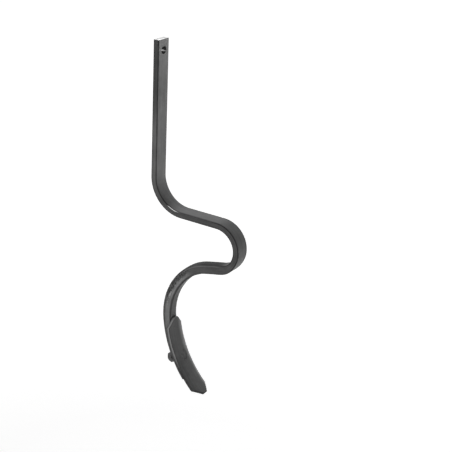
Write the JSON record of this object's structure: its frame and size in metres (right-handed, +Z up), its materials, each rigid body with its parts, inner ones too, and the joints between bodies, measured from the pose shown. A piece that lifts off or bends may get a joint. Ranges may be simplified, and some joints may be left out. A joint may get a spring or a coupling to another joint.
{
  "type": "track eradicator tine",
  "caption": "Spring-steel cultivator tine: a flat shank with a bolt hole, a spring loop and a curved leg that carries a bolted reversible share pointed at both ends.",
  "frame": {"origin": "centre of the mounting hole near the shank's top end, at half the bar's thickness", "axes": "+Z up along the shank, +X along the mounting hole towards the side where the spring loop stands out, +Y across the bar"},
  "size_m": [0.165, 0.035, 0.57],
  "materials": {
    "spring_steel": "hot-formed spring steel, dark satin with a slightly hammered leg",
    "share_steel": "hardened pressed plate, dark satin",
    "fastener_steel": "plain dark steel, satin"
  },
  "bodies": {
    "root": {"tine_bar": "spring_steel", "share": "share_steel", "share_bolt": "fastener_steel", "share_nut": "fastener_steel"}
  },
  "joints": []
}
